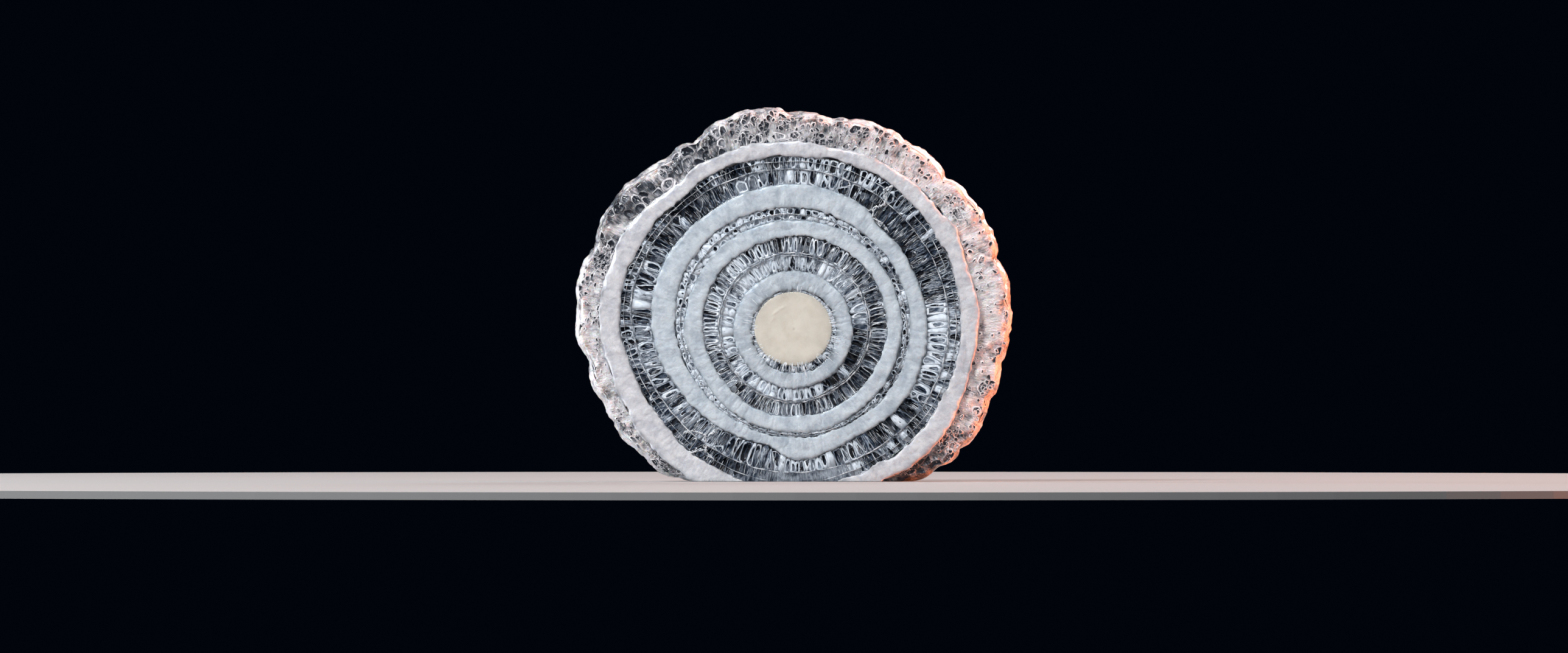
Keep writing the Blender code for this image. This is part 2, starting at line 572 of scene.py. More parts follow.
def grained(tree: Tree, group: Tree, mottle: float, streaks: float) -> Sockets:
    """Places the frozen grain in a material.

    Args:
        tree: The material's tree.
        group: The frozen grain.
        mottle: Size of the mottling in mm.
        streaks: How many streaks there are in a radian.

    Returns:
        The sockets Mottle and Streaks.
    """
    place = node(
        tree,
        "ShaderNodeMapping",
        vector_type="POINT",
        Vector=node(tree, "ShaderNodeTexCoord").outputs["Object"],
        Location=tuple(-c / MM for c in CENTRE),
        Scale=(1 / MM,) * 3,
    )
    made = tree.nodes.new("ShaderNodeGroup")
    made.node_tree = group
    feed(tree, made, Place=place.outputs[0], Mottle_Size=mottle, Streaks_Round=streaks)
    return made.outputs


@dataclass(frozen=True)
class ClearIce:
    """Clear ice: plain transmission with a faint blue absorption."""

    name: str = "clear_ice"
    roughness: float = 0.02
    absorbed: Colour = (0.72, 0.86, 0.94)
    density: float = 22.0  # per metre
    relief: float = 0.06  # height of the grain on its skin, in mm

    def material(self, grain: Tree) -> Material:
        """Builds the finish."""
        white = (1.0, 1.0, 1.0, 1.0)
        made, tree, shader = new_material(
            self.name, Base_Color=white, Roughness=self.roughness, IOR=ICE_IOR, Transmission_Weight=1.0
        )
        noise = grained(tree, grain, 0.35, 70.0)
        height = worked_out(tree, "MULTIPLY_ADD", noise["Streaks"], 0.7, noise["Mottle"])
        feed(tree, shader, Normal=bumped(tree, height, self.relief, 0.5))
        volume = node(tree, "ShaderNodeVolumeAbsorption", Color=(*self.absorbed, 1.0), Density=self.density)
        feed(tree, tree.nodes["Material Output"], Volume=volume.outputs[0])
        return made


@dataclass(frozen=True)
class MilkyIce:
    """Ice clouded by air bubbles, which light soaks into."""

    name: str
    thick: Colour
    thin: Colour
    soak: float = 0.4
    roughness: float = 0.38
    coat: float = 0.35
    relief: float = 0.45  # height of its lumps in mm
    clearest: float = 0.3  # how dark the ice is where the milk has cleared, and at the embryo's edge where shade is painted, as a share of the thin colour

    def material(self, grain: Tree) -> Material:
        """Builds the finish."""
        made, tree, shader = new_material(
            self.name,
            Roughness=self.roughness,
            IOR=ICE_IOR,
            Subsurface_Weight=self.soak,
            Subsurface_Radius=(1.0, 1.15, 1.35),
            Subsurface_Scale=0.6 * MM,
            Coat_Weight=self.coat,
            Coat_Roughness=0.18,
            Coat_IOR=ICE_IOR,
        )
        noise, fine = grained(tree, grain, 2.0, 46.0), grained(tree, grain, 0.3, 60.0)
        both = worked_out(tree, "MULTIPLY_ADD", fine["Streaks"], 0.35, noise["Mottle"])
        colour = ramp(tree, both, (0.48, self.thin), (0.76, self.thick))
        # The veil darkens the milk where it clears; on the embryo it also carries painted shade at the edge.
        fade = worked_out(tree, "MULTIPLY", attribute(tree, "veil"), 0.85)
        colour = blended(tree, fade, colour, tuple(c * self.clearest for c in self.thin))
        height = worked_out(tree, "MULTIPLY_ADD", fine["Mottle"], 0.25, noise["Mottle"])
        feed(tree, shader, Base_Color=colour, Normal=bumped(tree, height, self.relief, 0.6))
        return made


@dataclass(frozen=True)
class Frost:
    """The crystals' boundaries: bright at a lip, which is white frost with a painted highlight, and inside from a
    painted dark, the shade seen into clear crystal, to smoky haze.
    """

    name: str = "frost"
    bright: Colour = FROST_AND_HIGHLIGHT_WHITE
    smoky: Colour = (0.58, 0.63, 0.69)
    # navy and dark are painted shade, the dark seen into clear crystal; smoky is real haze.
    navy: Colour = (0.035, 0.06, 0.105)
    dark: Colour = (0.002, 0.004, 0.009)

    def material(self, grain: Tree) -> Material:
        """Builds the finish."""
        made, tree, shader = new_material(self.name, Roughness=0.35, IOR=ICE_IOR)
        noise, fine = grained(tree, grain, 0.8, 60.0), grained(tree, grain, 0.25, 130.0)
        combed = worked_out(tree, "MULTIPLY_ADD", fine["Streaks"], 1.6, attribute(tree, "smoke"))
        both = worked_out(tree, "MULTIPLY_ADD", noise["Mottle"], 0.6, combed)
        colour = ramp(tree, ranged(tree, both, 1.15, 2.05), (0.1, self.dark), (0.32, self.navy), (0.9, self.smoky))
        broken = worked_out(tree, "MULTIPLY", attribute(tree, "lip"), noise["Streaks"])
        feed(tree, shader, Base_Color=blended(tree, ranged(tree, broken, 0.03, 0.33), colour, self.bright))
        return made


@dataclass(frozen=True)
class NeedleFrost:
    """Fine air channels, from faint to white."""

    name: str = "needle_frost"
    bright: Colour = FROST_AND_HIGHLIGHT_WHITE
    faint: Colour = (0.2, 0.23, 0.28)

    def material(self, grain: Tree) -> Material:
        """Builds the finish."""
        made, tree, shader = new_material(self.name, Roughness=0.35, IOR=ICE_IOR)
        noise = grained(tree, grain, 0.9, 80.0)
        feed(tree, shader, Base_Color=ramp(tree, noise["Mottle"], (0.4, self.faint), (0.56, self.bright)))
        return made


@dataclass(frozen=True)
class DeepIce:
    """What shows deep in the clear ice: painted dark, for the shade seen through clear ice, with real smoke and fine
    radial streaks where it is hazy.
    """

    name: str = "deep_shade_and_haze"
    # dark and navy are painted shade, the dark seen through clear ice; smoke is real haze.
    dark: Colour = (0.006, 0.011, 0.02)
    navy: Colour = (0.03, 0.046, 0.075)
    smoke: Colour = (0.42, 0.46, 0.52)
    soak: float = 0.0
    relief: float = 0.4  # height of its grain in mm

    def material(self, grain: Tree) -> Material:
        """Builds the finish."""
        made, tree, shader = new_material(
            self.name,
            Roughness=0.4,
            IOR=ICE_IOR,
            Subsurface_Weight=self.soak,
            Subsurface_Radius=(1.0, 0.35, 0.15),
            Subsurface_Scale=2.0 * MM,
        )
        soft, fine = grained(tree, grain, 1.0, 34.0), grained(tree, grain, 0.3, 110.0)
        streaks = worked_out(tree, "MULTIPLY_ADD", fine["Streaks"], 1.5, attribute(tree, "haze"))
        both = worked_out(tree, "MULTIPLY_ADD", soft["Mottle"], 0.9, streaks)
        colour = ramp(tree, ranged(tree, both, 0.95, 2.2), (0.05, self.dark), (0.3, self.navy), (0.85, self.smoke))
        feed(tree, shader, Base_Color=colour, Normal=bumped(tree, both, self.relief, 0.6))
        return made


@dataclass(frozen=True)
class AirBubble:
    """The mirror-bright skin of an air bubble seen through ice."""

    name: str = "air_bubble"

    def material(self) -> Material:
        """Builds the finish."""
        made, tree, shader = new_material(self.name, Base_Color=(0.75, 0.8, 0.86, 1.0), Metallic=1.0)
        rim = node(tree, "ShaderNodeLayerWeight", Blend=0.5)
        feed(tree, shader, Roughness=worked_out(tree, "MULTIPLY_ADD", rim.outputs["Facing"], 0.2, 0.05))
        return made


# ---------------------------------------------------------------- the milky layers


@dataclass(frozen=True)
class MilkyLayer:
    """A ring of milky ice, through the whole thickness and a hair proud of the clear ice beside it.

    Attributes:
        name: The piece's name.
        edges: Its inner and outer boundary.
        seed: Which roughness its walls have.
        steps: Segments round the clock.
    """

    name: str
    edges: tuple[Course, Course]
    seed: int
    steps: int
    clearing: float = 0.0  # how far the milk thins out towards the inner edge, from 0 to 1
    wobble: float = 0.16  # how far an edge strays slowly, in mm
    ragged: float = 0.14  # how far it strays from grain to grain, in mm
    proud: float = 0.02  # how far the face stands out, in mm
    shoulder: float = 0.14  # how far it drops towards the edges, in mm
    lumps: float = 0.09  # how far it swells and sinks, in mm

    def points(self, turn: Points, share: Points, side: Points) -> Points:
        """Places the ring's points."""
        depth = side * HALF
        inner, outer = (edge.at(turn) for edge in self.edges)
        count = round(outer.mean() * TAU / 0.7)
        around, slow = round_place(turn, count, depth / 1.3), round_place(turn, count // 4, depth / 6.0)
        strayed = []
        for which, edge in enumerate((inner, outer)):
            shift, seed = (0.0, 9.0 * which), self.seed + which
            rough = smooth_noise(around + shift, seed, count) + 0.4 * smooth_noise(around * 2, seed, 2 * count)
            strayed.append(edge + self.ragged * rough + self.wobble * smooth_noise(slow + shift, seed + 5, count // 4))
        inner, outer = strayed
        radius = inner + (outer - inner) * share
        swell = self.lumps * layered(noise_place(turn, radius, side), self.seed + 2, (1.0, 1.5), (0.4, 0.6))
        folds = round(outer.mean() * TAU / 1.1)
        creased = smooth_noise(round_place(turn, folds, radius / 2.5, side * 4.0), self.seed + 4, folds)
        swell = swell - self.lumps * 0.8 * (1.0 - np.minimum(np.abs(creased) / 0.25, 1.0))
        edge = np.abs(2.0 * share - 1.0)
        face = self.proud + swell * (1.0 - edge**6) - self.shoulder * (0.5 * edge**4 + edge**14)
        depth = depth + np.where(np.abs(side) > ON_FACE, side * np.minimum(face, PROUD), 0.0)
        return placed(turn, bulged(radius, np.clip(depth, -HALF, HALF)), depth)

    def veil(self, where: Points) -> Points:
        """How much the milk clears at each point, from 0 to 1: near the edges, in patches."""
        turn, radius, depth = grown(where)
        inner, outer = (edge.at(turn) for edge in self.edges)
        apart = OUTSIDE * np.sign(depth)
        clouds = smooth_noise(noise_place(turn, radius, apart) / 0.8, self.seed + 7)
        combed = smooth_noise(round_place(turn, 150, radius / 1.4, apart), self.seed + 8, 150)
        edge = np.exp(-np.maximum(np.minimum(radius - inner, outer - radius), 0.0) / 0.22)
        thinned = self.clearing * np.exp(-np.maximum(radius - inner, 0.0) / 0.75)
        return np.clip((0.6 * edge + thinned) * (0.75 + 0.6 * clouds + 0.5 * combed), 0.0, 1.0)

    def build(self, finish: Material) -> Piece:
        """Models and dresses the ring."""
        made = ring(self.steps, *section(26, 8), self.points)
        with_attribute(made.data, "veil", self.veil(mesh_points(made.data)))
        cut_flat(made)
        return handed_over(made, self.name, finish)


# ---------------------------------------------------------------- the clear bands


class Outline:
    """The slice's own skin at mid thickness, read from its CAD node and run on below the flat spot."""

    steps = 900

    def __init__(self, inset: float = 0.0) -> None:
        """Reads the skin.

        Args:
            inset: How far inside the skin the course runs, in mm.
        """
        self.inset = inset
        self.turns = np.arange(self.steps) * TAU / self.steps
        self.line = self.at_depth(self.turns, 0.0)

    @staticmethod
    def at_depth(turns: Points, depth: float) -> Points:
        """True radius in mm of the skin at a depth in mm, for each turn."""
        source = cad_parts[NODE].data
        tree = BVHTree.FromPolygons([v.co for v in source.vertices], [tuple(p.vertices) for p in source.polygons])
        start = Vector((CENTRE.x, CENTRE.y + depth * MM, CENTRE.z))
        found = [tree.ray_cast(start, Vector((math.sin(t), 0.0, math.cos(t))))[3] for t in turns]
        out = np.array([np.nan if f is None else f / MM for f in found])
        out[CENTRE.z / MM + out * np.cos(turns) < 0.12] = np.nan  # on the flat spot
        good = ~np.isnan(out)
        return np.interp(turns, turns[good], out[good], period=TAU)

    def at(self, turn: Points) -> Points:
        """The radius at each turn, in mm."""
        return np.interp(turn, self.turns, self.line, period=TAU) - self.inset


@dataclass
class CellRow:
    """One row of crystals between two courses, each crystal the ground nearest to its own middle.

    Distances are measured in cells: one along the row for each width, and one across it for each line, so
    that crystals in a high row are drawn out along the radius.

    Attributes:
        inner: The course that the crystals start from.
        outer: The course that they end at.
        width: Usual width of a crystal in mm.
        seed: Which middles are drawn.
        haze: How far the crystals are closed by frost, from 0 to 1.
        lines: How many crystals lie across the row.
        uneven: How far a middle strays, in cells.
        where: Over 0.5 at the turns where the row has crystals, for a row that doesn't go all round.
        middles: The crystals' middles, in cells.
        around: The middles with their reflections.
    """

    inner: Course | Between
    outer: Course | Between | Outline
    width: float
    seed: int
    haze: Course
    lines: int = 1
    uneven: float = 0.3
    where: Course | None = None
    middles: Points = field(init=False)
    around: Points = field(init=False)

    def __post_init__(self) -> None:
        """Draws the middles, and their reflections in both courses and past the seam."""
        rng = np.random.default_rng(self.seed)
        turns = np.linspace(0, TAU, 48, endpoint=False)
        self.high = float(np.mean(self.outer.at(turns) - self.inner.at(turns)))
        mean = float(np.mean(self.outer.at(turns) + self.inner.at(turns))) / 2
        self.count = max(12, round(mean * TAU / self.width))
        places = np.meshgrid(np.arange(self.count), np.arange(self.lines), indexing="ij")
        grid = np.stack(places, axis=-1).reshape(-1, 2).astype(float)
        grid[:, 0] += 0.5 * (grid[:, 1] % 2)
        stray = rng.uniform(-1.0, 1.0, grid.shape) * (1.35 * self.uneven, self.uneven)
        self.middles = grid + 0.5 + stray
        self.middles[:, 0] %= self.count
        mirrored = self.middles * (1, -1)
        every = np.concatenate([self.middles, mirrored, mirrored + (0, 2 * self.lines)])
        self.around = np.concatenate([every + (step, 0) for step in (-self.count, 0, self.count)])
        self.around = self.around[(self.around[:, 0] > -4) & (self.around[:, 0] < self.count + 4)]
        self.tree = KDTree(len(self.around))
        for k, (x, y) in enumerate(self.around):
            self.tree.insert((x, y, 0.0), k)
        self.tree.balance()

    @property
    def thin(self) -> float:
        """How many times narrower than high a crystal is."""
        return self.high / (self.lines * self.width)

    def haze_at(self, cells: Points) -> Points:
        """How hazy places in the row are, which are given in cells. The haze lies in patches."""
        turn, radius = self.place(cells)
        return self.haze.at(turn) + layered(noise_place(turn, radius), self.seed + 60, (0.3, 1.6))

    def place(self, cells: Points) -> tuple[Points, Points]:
        """The turn and the radius of places in the row, which are given in cells."""
        turn = cells[..., 0] / self.count * TAU
        inner, outer = self.inner.at(turn), self.outer.at(turn)
        return turn, inner + (outer - inner) * cells[..., 1] / self.lines

    def to_wall(self, turn: Points, radius: Points) -> Points:
        """Distance in mm from each place to the nearest wall of the row, or OUTSIDE."""
        inner, outer = self.inner.at(turn), self.outer.at(turn)
        across = (radius - inner) / np.maximum(outer - inner, 0.01)
        along = ((turn + warped(turn, radius)) % TAU) / TAU * self.count
        result = np.full(len(turn), OUTSIDE)
        for k in np.flatnonzero((across > -0.02) & (across < 1.02)):
            near = self.tree.find_n((along[k], across[k] * self.lines, 0.0), 2)
            result[k] = (near[1][2] - near[0][2]) / 2 * self.width
        return result

    def openings(self, wall: Points, spread: Points, directions: Points) -> tuple[Points, Points]:
        """How far each crystal reaches from its middle in each direction, in cells.

        Args:
            wall: Half the thickness of each crystal's wall in mm.
            spread: The share of its ground that each crystal leaves open.
            directions: Angles in radians.

        Returns:
            The reach of the ground, and the reach of the opening, whose corners are rounded.
        """
        apart = self.around[None] - self.middles[:, None]
        far = np.hypot(apart[..., 0], apart[..., 1])
        far[far < 1e-6] = 99.0
        near = np.argsort(far, axis=1)[:, :14]
        apart = np.take_along_axis(apart, near[..., None], axis=1)
        far = np.take_along_axis(far, near, axis=1)
        lean = np.arctan2(apart[..., 1], apart[..., 0])
        facing = np.cos(directions[None, None] - lean[..., None])
        ground = np.where(facing > 0.02, far[..., None] / 2 / np.maximum(facing, 0.02), 99.0).min(axis=1)
        thick = wall[:, None] * np.hypot(np.cos(lean), np.sin(lean) / self.thin) / self.width
        half = np.maximum(far / 2 - thick, 0.03)
        pull = (np.maximum(facing, 0.0) / half[..., None]) ** 12
        hole = pull.sum(axis=1) ** (-1 / 12)
        return ground, np.minimum(hole * spread[:, None], ground * 0.97)


@dataclass
class ClearBand:
    """A ring of clear ice whose faces are ribbed where its crystals meet.

    Attributes:
        name: The piece's name.
        inner: Its inner boundary.
        outer: Its outer boundary.
        rows: The rows of crystals in it.
        steps: Segments round the clock.
        face_steps: Points across each face.
        seed: Which roughness its faces have.
    """

    name: str
    inner: Course
    outer: Course
    rows: tuple[CellRow, ...]
    steps: int
    face_steps: int
    seed: int
    sunk: float = 0.06  # how far its faces lie under the sawn faces, in mm
    groove: float = 0.14  # depth in mm of the groove over a crystal's wall
    groove_width: float = 0.16
    rib: float = 0.022  # height in mm of the fine radial ribs
    rib_width: float = 0.35
    waves: float = 0.05  # height in mm of the swells
    tuck: float = 0.18  # how far the band runs on under the milky rings, in mm

    def relief(self, turn: Points, radius: Points, side: Points) -> Points:
        """How far the ice lies below the sawn face, in mm."""
        nearest = np.min([row.to_wall(turn, radius) for row in self.rows], axis=0)
        mean = float(self.outer.at(np.linspace(0, TAU, 48)).mean())
        count = round(mean * TAU / self.rib_width)
        ribs = smooth_noise(round_place(turn, count, radius / 1.6, side * 3.0), self.seed, count)
        waves = layered(noise_place(turn, radius, side * 5.0), self.seed + 1, (1.0, 0.9))
        groove = self.groove * np.exp(-((nearest / self.groove_width) ** 2))
        return self.sunk + groove + self.rib * (1.0 + ribs) + self.waves * (1.0 + waves)

    def points(self, turn: Points, share: Points, side: Points) -> Points:
        """Places the band's points."""
        inner, outer = self.inner.at(turn) - self.tuck, self.outer.at(turn) + self.tuck
        radius = inner + (outer - inner) * share
        depth = side * HALF
        depth = depth - np.where(np.abs(side) > ON_FACE, side * self.relief(turn, radius, side), 0.0)
        return placed(turn, bulged(radius, depth), depth)

    def build(self, finish: Material) -> Piece:
        """Models and dresses the band."""
        made = ring(self.steps, *section(self.face_steps, 5), self.points)
        cut_flat(made)
        made.visible_shadow = False
        return handed_over(made, self.name, finish)


@dataclass(frozen=True)
class DeepCore:
    """The depth of a clear band: a ring behind its crystals, painted dark for the shade seen through the clear ice, and
    smoky where the band is hazy.

    Attributes:
        name: The piece's name.
        inner: The band's inner boundary.
        outer: Its outer boundary.
        haze: How hazy it is, from 0 to 1.
        seed: Which roughness its faces have.
    """

    name: str
    inner: Course
    outer: Course | Outline
    haze: Course
    seed: int
    depth: float = 1.5  # mm under the sawn faces
    rise: float = 0.0  # how far full haze lifts it, in mm
    lumps: float = 0.25  # how far it swells and sinks, in mm
    patches: float = 0.25  # how much the haze varies from place to place
    tuck: float = 0.1  # how far it runs on under its neighbours, in mm
    steps: int = 480

    def points(self, turn: Points, share: Points, side: Points) -> Points:
        """Places the core's points."""
        inner, outer = self.inner.at(turn) - self.tuck, self.outer.at(turn) + self.tuck
        radius = inner + (outer - inner) * share
        swell = self.lumps * layered(noise_place(turn, radius, side), self.seed, (1.0, 1.2), (0.4, 0.5))
        lift = self.rise * np.clip(self.haze.at(turn), 0.0, 1.0)
        depth = side * (HALF - self.depth + lift + swell)
        return placed(turn, bulged(radius, depth), depth)

    def build(self, finish: Material) -> Piece:
        """Models and dresses the core."""
        made = ring(self.steps, *section(20, 2), self.points)
        turn, radius, depth = grown(mesh_points(made.data))
        patchy = layered(noise_place(turn, radius, OUTSIDE * np.sign(depth)), self.seed + 2, (1.0, 1.5), (1.0, 0.6))
        with_attribute(made.data, "haze", self.haze.at(turn) + self.patches * patchy)
        cut_flat(made)
        return handed_over(made, self.name, finish)


# ---------------------------------------------------------------- what is sealed in the clear ice


@dataclass(frozen=True)
class Shape:
    """A small modelled shape that is copied many times.

    Attributes:
        points: Its vertices.
        faces: Its faces, as tuples of vertex numbers.
    """

    points: Points
    faces: tuple[tuple[int, ...], ...]

    @staticmethod
    def taken_from(piece: Piece) -> "Shape":
        """Reads a modelled object as a shape and removes the object."""
        made = Shape(mesh_points(piece.data), tuple(tuple(p.vertices) for p in piece.data.polygons))
        mesh = piece.data
        bpy.data.objects.remove(piece)
        bpy.data.meshes.remove(mesh)
        return made


def copies(shape: Shape, points: Points, name: str) -> Piece:
    """Joins many copies of a shape, each with its own points, into one object.

    Args:
        shape: The shape that is copied.
        points: For each copy, the places in metres of the shape's vertices.
        name: The new object's name.

    Returns:
        The joined object, at the origin.
    """
    count, size = points.shape[:2]
    starts = (np.arange(count) * size)[:, None]
    lengths = np.array([len(f) for f in shape.faces])
    corners = np.concatenate([np.array(f) for f in shape.faces])
    mesh = bpy.data.meshes.new(name)
    mesh.vertices.add(count * size)
    mesh.vertices.foreach_set("co", points.astype(np.float32).ravel())
    mesh.loops.add(count * len(corners))
    mesh.loops.foreach_set("vertex_index", (starts + corners[None]).ravel().astype(np.int32))
    mesh.polygons.add(count * len(lengths))
    sizes = np.tile(lengths, count)
    mesh.polygons.foreach_set("loop_start", np.concatenate([[0], np.cumsum(sizes)[:-1]]).astype(np.int32))
    mesh.update(calc_edges=True)
    mesh.validate()
    made = bpy.data.objects.new(name, mesh)
    bpy.context.scene.collection.objects.link(made)
    return made


class CellHull:
    """One crystal's hull as a closed shape: rings from the middle of its floor, over its lip, to its back.

    Attributes:
        shape: The closed shape.
        ring: For each vertex, its ring, from 0 at the floor's middle to the last at the back's.
        way: For each vertex, the number of its direction.
    """

    around = 12
    rings = 6

    def __init__(self) -> None:
        """Models the hull and notes which ring and which direction each vertex stands for."""
        deselect()
        bpy.ops.mesh.primitive_uv_sphere_add(segments=self.around, ring_count=self.rings, radius=1.0)
        self.shape = Shape.taken_from(bpy.context.object)
        x, y, z = self.shape.points.T
        self.ring = np.rint(np.arccos(np.clip(z, -1.0, 1.0)) / math.pi * self.rings).astype(int)
        self.way = np.rint(np.arctan2(y, x) / TAU * self.around).astype(int) % self.around


@dataclass
class CrystalWalls:
    """The frosted boundaries between the crystals of some rows, near both faces.

    Attributes:
        name: The piece's name.
        rows: The rows of crystals.
        seed: Which sizes are drawn.
        wall: Thickness of a clear crystal's wall in mm.
        start: How far under the sawn face the walls start, in mm.
        reach: How far on from there they go, in mm.
        lip: Width in mm of the bright edge round a crystal, white frost with a painted highlight.
    """

    name: str
    rows: tuple[CellRow, ...]
    seed: int
    wall: float = 0.12
    start: float = 0.2
    reach: float = 1.1
    lip: float = 0.1
    bevel: float = 0.14  # how far the crystals' borders lie under their lips, in mm
    closing: float = 0.6  # the share of a crystal's reach that full haze takes away
    bright: float = 0.45  # how bright a lip is in clear ice
    inside: float = 1.0  # how much of the haze shows inside the crystals
    shut: float = 0.0  # the share of the crystals that full haze closes altogether
    lit: float = 1.0  # the share of the crystals with a bright lip
    open_only: bool = False  # whether the crystals that are closed altogether are left out

    def row_points(self, row: CellRow, hull: CellHull, rng: np.random.Generator) -> tuple[Points, Points, Points]:
        """Places a copy of the hull for each crystal of a row, near both faces.

        Args:
            row: The row of crystals.
            hull: What is copied.
            rng: Where the sizes are drawn from.

        Returns:
            For each copy, its points, and how bright and how smoky each of them is.
        """
        count = len(row.middles)
        haze = np.clip(row.haze_at(row.middles) + 0.12 * rng.normal(size=count), 0.0, 0.97)
        angle = np.arange(hull.around) * TAU / hull.around
        wall = self.wall * (0.35 + 1.4 * haze) * rng.lognormal(0.0, 0.35, count) / 2
        lip = self.lip * (0.5 + 0.6 * haze)
        spread = 1.0 - self.closing * haze**1.5 * rng.uniform(0.4, 1.0, count)
        shut = rng.uniform(size=count) < self.shut * haze
        spread = np.where(shut, rng.uniform(0.03, 0.3, count), spread)
        ground, hole = row.openings(wall, spread, angle)
        _, foot = row.openings(np.maximum(wall - lip, 0.0), np.minimum(spread + 0.12, 1.0), angle)
        hole *= 1.0 + 0.06 * rng.normal(size=hole.shape)
        foot = np.minimum(np.maximum(foot, hole), ground)
        hole = np.minimum(hole, ground * 0.97)
        reach = np.stack([0 * hole, hole * 0.9, hole, foot, ground, ground * 0.97, 0 * hole], axis=2)
        way = np.stack([np.cos(angle), np.sin(angle)], axis=-1)
        cells = row.middles[:, None] + reach[:, hull.way, hull.ring, None] * way[hull.way]
        cells[..., 1] = np.clip(cells[..., 1], 0.0, row.lines)
        turn, radius = row.place(cells)
        turn = turn - warped(turn, radius)
        kept = (placed(turn, radius, 0 * turn)[..., 2] > CAD_LOW.z + 0.5 * MM).all(axis=1)
        if self.open_only:
            kept &= ~shut
        if row.where is not None:
            kept &= row.where.at(row.place(row.middles)[0]) > 0.5
        floor, back = (self.reach + 0.05, self.reach), (self.reach + 0.2, self.reach + 0.3)
        down = np.tile((*floor, 0.0, 0.1, self.bevel, *back), (count, 1))
        down[shut] *= (0.35, 0.35, 1.0, 0.3, 0.1, 1.0, 1.0)
        sunk = self.start + rng.uniform(0.0, 0.15, count)[:, None] + down[:, hull.ring]
        bright = np.clip(self.bright + 0.35 * haze + 0.3 * rng.normal(size=count), 0.05, 1.0)
        # Painted light: each crystal's lip is drawn brightest on one side and dim on the other, as if lit from that
        # side; the side is drawn for each crystal.
        painted_lit_side = rng.normal(0.4, 1.5, count)[:, None]
        bright *= np.where(rng.uniform(size=count) < self.lit, 1.0, 0.12)
        bright = bright[:, None] * (0.12 + 0.88 * (0.5 + 0.5 * np.cos(angle - painted_lit_side)) ** 1.6)
        # A clear crystal's inside is painted dark, for the shade seen into it; haze makes it smoky.
        tone = 0.1 + 1.7 * self.inside * haze * rng.beta(0.8, 0.8, count) + 0.14 * rng.normal(size=count)
        tone = np.clip(tone, 0.0, 1.0)
        veil = np.clip(0.12 + 1.15 * haze + 0.08 * rng.normal(size=count), 0.0, 1.0)
        depths = [side.value * (HALF - sunk) for side in Side]
        parts = [placed(turn, bulged(radius, depth), depth)[kept] for depth in depths]
        smoke = np.stack([tone, 0.8 * tone, veil, veil, veil, veil, tone], axis=-1)[:, hull.ring]
        # The lip's white is frost's own, with a painted highlight laid on it.
        lip_frost_and_highlight = bright[:, hull.way] * np.array((0.0, 0.15, 1.0, 0.3, 0.0, 0.0, 0.0))[hull.ring]
        return np.concatenate(parts), np.tile(lip_frost_and_highlight[kept], (2, 1)), np.tile(smoke[kept], (2, 1))

    def build(self, finish: Material) -> Piece:
        """Models and dresses the walls."""
        rng = np.random.default_rng(self.seed)
        hull = CellHull()
        rows = [self.row_points(row, hull, rng) for row in self.rows]
        points, lip_frost_and_highlight, smoke = (np.concatenate(part) for part in zip(*rows))
        made = copies(hull.shape, points, self.name)
        with_attribute(made.data, "lip", lip_frost_and_highlight.ravel())
        with_attribute(made.data, "smoke", smoke.ravel())
        turn_outwards(made)
        made.visible_shadow = False
        return handed_over(made, self.name, finish)


def needle_shape() -> Shape:
    """Models a spindle of frost along Y, a unit long and a unit thick."""
    deselect()
    bpy.ops.mesh.primitive_uv_sphere_add(segments=4, ring_count=3, radius=0.5, rotation=(math.pi / 2, 0.0, 0.0))
    bpy.ops.object.transform_apply(rotation=True)
    return Shape.taken_from(bpy.context.object)


@dataclass
class FrostNeedles:
    """Fine radial needles of trapped air, thicker on the ground where the ice is hazy.

    Attributes:
        name: The piece's name.
        inner: The course that they lie outside of.
        outer: The course that they lie inside of.
        haze: How thickly they lie, from 0 to 1.
        count: How many there would be if the haze were 1 all round.
        seed: Which places are drawn.
        length: Usual length in mm.
        thick: Usual thickness in mm.
        stray: Usual angle in radians off the radial direction.
    """

    name: str
    inner: Course | Between
    outer: Course | Between | Outline
    haze: Course
    count: int
    seed: int
    length: float = 1.1
    thick: float = 0.05
    stray: float = 0.07
    under: tuple[float, float] = (0.12, 1.3)  # how far under the sawn face they lie, in mm

    def build(self, finish: Material) -> Piece:
        """Models and dresses the needles."""
        rng = np.random.default_rng(self.seed)
        turn = rng.uniform(0.0, TAU, self.count)
        share = rng.uniform(0.0, 1.0, self.count)
        inner, outer = self.inner.at(turn), self.outer.at(turn)
        radius = inner + (outer - inner) * share
        patchy = 0.5 + layered(noise_place(turn, radius), self.seed + 5, (0.9, 1.3))
        kept = rng.uniform(0.0, 1.0, self.count) < self.haze.at(turn) * np.clip(patchy * 1.6, 0.05, 1.6)
        kept &= placed(turn, radius, 0 * turn)[:, 2] > CAD_LOW.z + 0.8 * MM
        turn, radius, inner, outer = turn[kept], radius[kept], inner[kept], outer[kept]
        count = len(turn)
        length = self.length * rng.lognormal(0.0, 0.45, count)
        length = np.minimum(length, 1.7 * np.minimum(radius - inner, outer - radius) + 0.25)
        thick = self.thick * rng.lognormal(0.0, 0.35, count)
        stray = rng.normal(0.0, self.stray, count)
        depth = rng.choice((-1.0, 1.0), count) * (HALF - rng.uniform(*self.under, count))
        shape = needle_shape()
        along = shape.points[None, :, 1] * length[:, None]
        aside = shape.points[None, :, 0] * thick[:, None]
        deep = shape.points[None, :, 2] * thick[:, None]
        out = along * np.cos(stray)[:, None] - aside * np.sin(stray)[:, None]
        past = along * np.sin(stray)[:, None] + aside * np.cos(stray)[:, None]
        depth = np.clip(depth[:, None] + deep, -HALF - PROUD, HALF + PROUD)
        true = bulged(radius[:, None], depth) + out
        points = placed(turn[:, None] + past / true, true, depth)
        made = copies(shape, points[points[..., 2].min(axis=1) > CAD_LOW.z + FLOOR_GAP * MM], self.name)
        made.visible_shadow = False
        return handed_over(made, self.name, finish)


